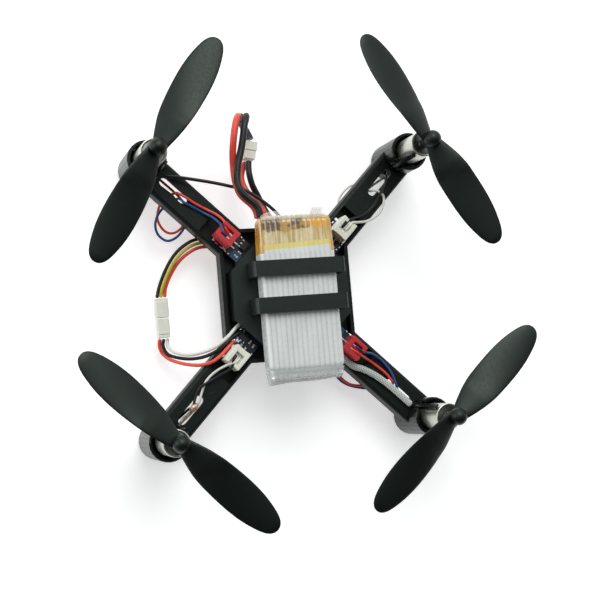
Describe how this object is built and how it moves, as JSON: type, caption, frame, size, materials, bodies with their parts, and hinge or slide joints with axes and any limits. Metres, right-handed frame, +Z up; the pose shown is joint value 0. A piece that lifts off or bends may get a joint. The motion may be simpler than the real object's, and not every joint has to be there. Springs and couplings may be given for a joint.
{
  "type": "quadcopter",
  "caption": "Palm-size quadcopter on an X frame, with motor pods at the arm ends, two-blade propellers, a strapped battery in a cage and exposed wiring.",
  "frame": {"origin": "on the flat underside of the frame, midway between the four motors", "axes": "+Z up along the motor axes; +Y to the front, the end with the battery leads; +X to the right"},
  "size_m": [0.1211, 0.1253, 0.0367],
  "materials": {
    "frame_plastic": "black printed plastic, satin",
    "board_green": "green solder mask",
    "cage_plastic": "black moulded plastic, satin",
    "screw_steel": "plated steel",
    "pouch_foil": "silver foil pouch",
    "winding_tape": "clear ribbed tape",
    "amber_film": "amber film over a small board",
    "connector_red": "moulded, satin",
    "connector_cream": "moulded, satin",
    "module_green": "circuit board in clear sleeve",
    "wire_black": "soft insulation, satin",
    "wire_red": "soft insulation, satin",
    "wire_blue": "soft insulation, satin",
    "wire_white": "soft insulation, satin",
    "wire_yellow": "soft insulation, satin",
    "heat_shrink": "wrinkled black tubing",
    "sleeve_grey": "grey woven sleeve",
    "can_steel": "drawn steel",
    "brush_cap_plastic": "black end cap",
    "magnet_metal": "plated magnet",
    "rotor_copper": "copper winding on a steel shaft",
    "propeller_plastic": "black moulded plastic, satin"
  },
  "bodies": {
    "airframe": {"frame": "frame_plastic", "flight_board": "board_green", "battery_cage": "cage_plastic", "cage_screw_1": "screw_steel", "cage_screw_2": "screw_steel", "cage_screw_3": "screw_steel", "cage_screw_4": "screw_steel", "battery_cell": "pouch_foil", "battery_wrap": "winding_tape", "battery_cap": "amber_film", "motor_plug_front_left": "connector_red", "motor_plug_front_right": "connector_cream", "motor_plug_rear_left": "connector_cream", "motor_plug_rear_right": "connector_red", "battery_plug": "connector_cream", "supply_socket": "connector_cream", "receiver_module": "module_green", "receiver_plug": "connector_cream", "receiver_socket": "connector_cream", "battery_lead_black": "wire_black", "battery_lead_red": "wire_red", "lead_sleeve": "heat_shrink", "supply_lead_black": "wire_black", "supply_lead_red": "wire_red", "antenna_wire": "wire_black", "antenna_sleeve": "sleeve_grey", "receiver_wire_black": "wire_black", "receiver_wire_yellow": "wire_yellow", "receiver_wire_red": "wire_red", "signal_wire_white": "wire_white", "signal_wire_black": "wire_black", "signal_wire_red": "wire_red", "motor_wire_front_left_blue": "wire_blue", "motor_wire_front_left_red": "wire_red", "motor_wire_front_right_black": "wire_black", "motor_wire_front_right_white": "wire_white", "motor_wire_rear_left_white": "wire_white", "motor_wire_rear_left_black": "wire_black", "motor_wire_rear_right_blue": "wire_blue", "motor_wire_rear_right_red": "wire_red", "motor_can_front_left": "can_steel", "brush_cap_front_left": "brush_cap_plastic", "magnet_front_left": "magnet_metal", "motor_can_front_right": "can_steel", "brush_cap_front_right": "brush_cap_plastic", "magnet_front_right": "magnet_metal", "motor_can_rear_left": "can_steel", "brush_cap_rear_left": "brush_cap_plastic", "magnet_rear_left": "magnet_metal", "motor_can_rear_right": "can_steel", "brush_cap_rear_right": "brush_cap_plastic", "magnet_rear_right": "magnet_metal"},
    "spinner_front_left": {"rotor_front_left": "rotor_copper", "propeller_front_left": "propeller_plastic"},
    "spinner_front_right": {"rotor_front_right": "rotor_copper", "propeller_front_right": "propeller_plastic"},
    "spinner_rear_left": {"rotor_rear_left": "rotor_copper", "propeller_rear_left": "propeller_plastic"},
    "spinner_rear_right": {"rotor_rear_right": "rotor_copper", "propeller_rear_right": "propeller_plastic"}
  },
  "joints": [
    {"name": "spin_front_left", "type": "hinge", "parent": "airframe", "child": "spinner_front_left", "pos_m": [-0.0364, 0.0364, 0.02], "axis": [0, 0, 1], "continuous": true},
    {"name": "spin_front_right", "type": "hinge", "parent": "airframe", "child": "spinner_front_right", "pos_m": [0.0364, 0.0364, 0.02], "axis": [0, 0, 1], "continuous": true},
    {"name": "spin_rear_left", "type": "hinge", "parent": "airframe", "child": "spinner_rear_left", "pos_m": [-0.0364, -0.0364, 0.02], "axis": [0, 0, 1], "continuous": true},
    {"name": "spin_rear_right", "type": "hinge", "parent": "airframe", "child": "spinner_rear_right", "pos_m": [0.0364, -0.0364, 0.02], "axis": [0, 0, 1], "continuous": true}
  ]
}
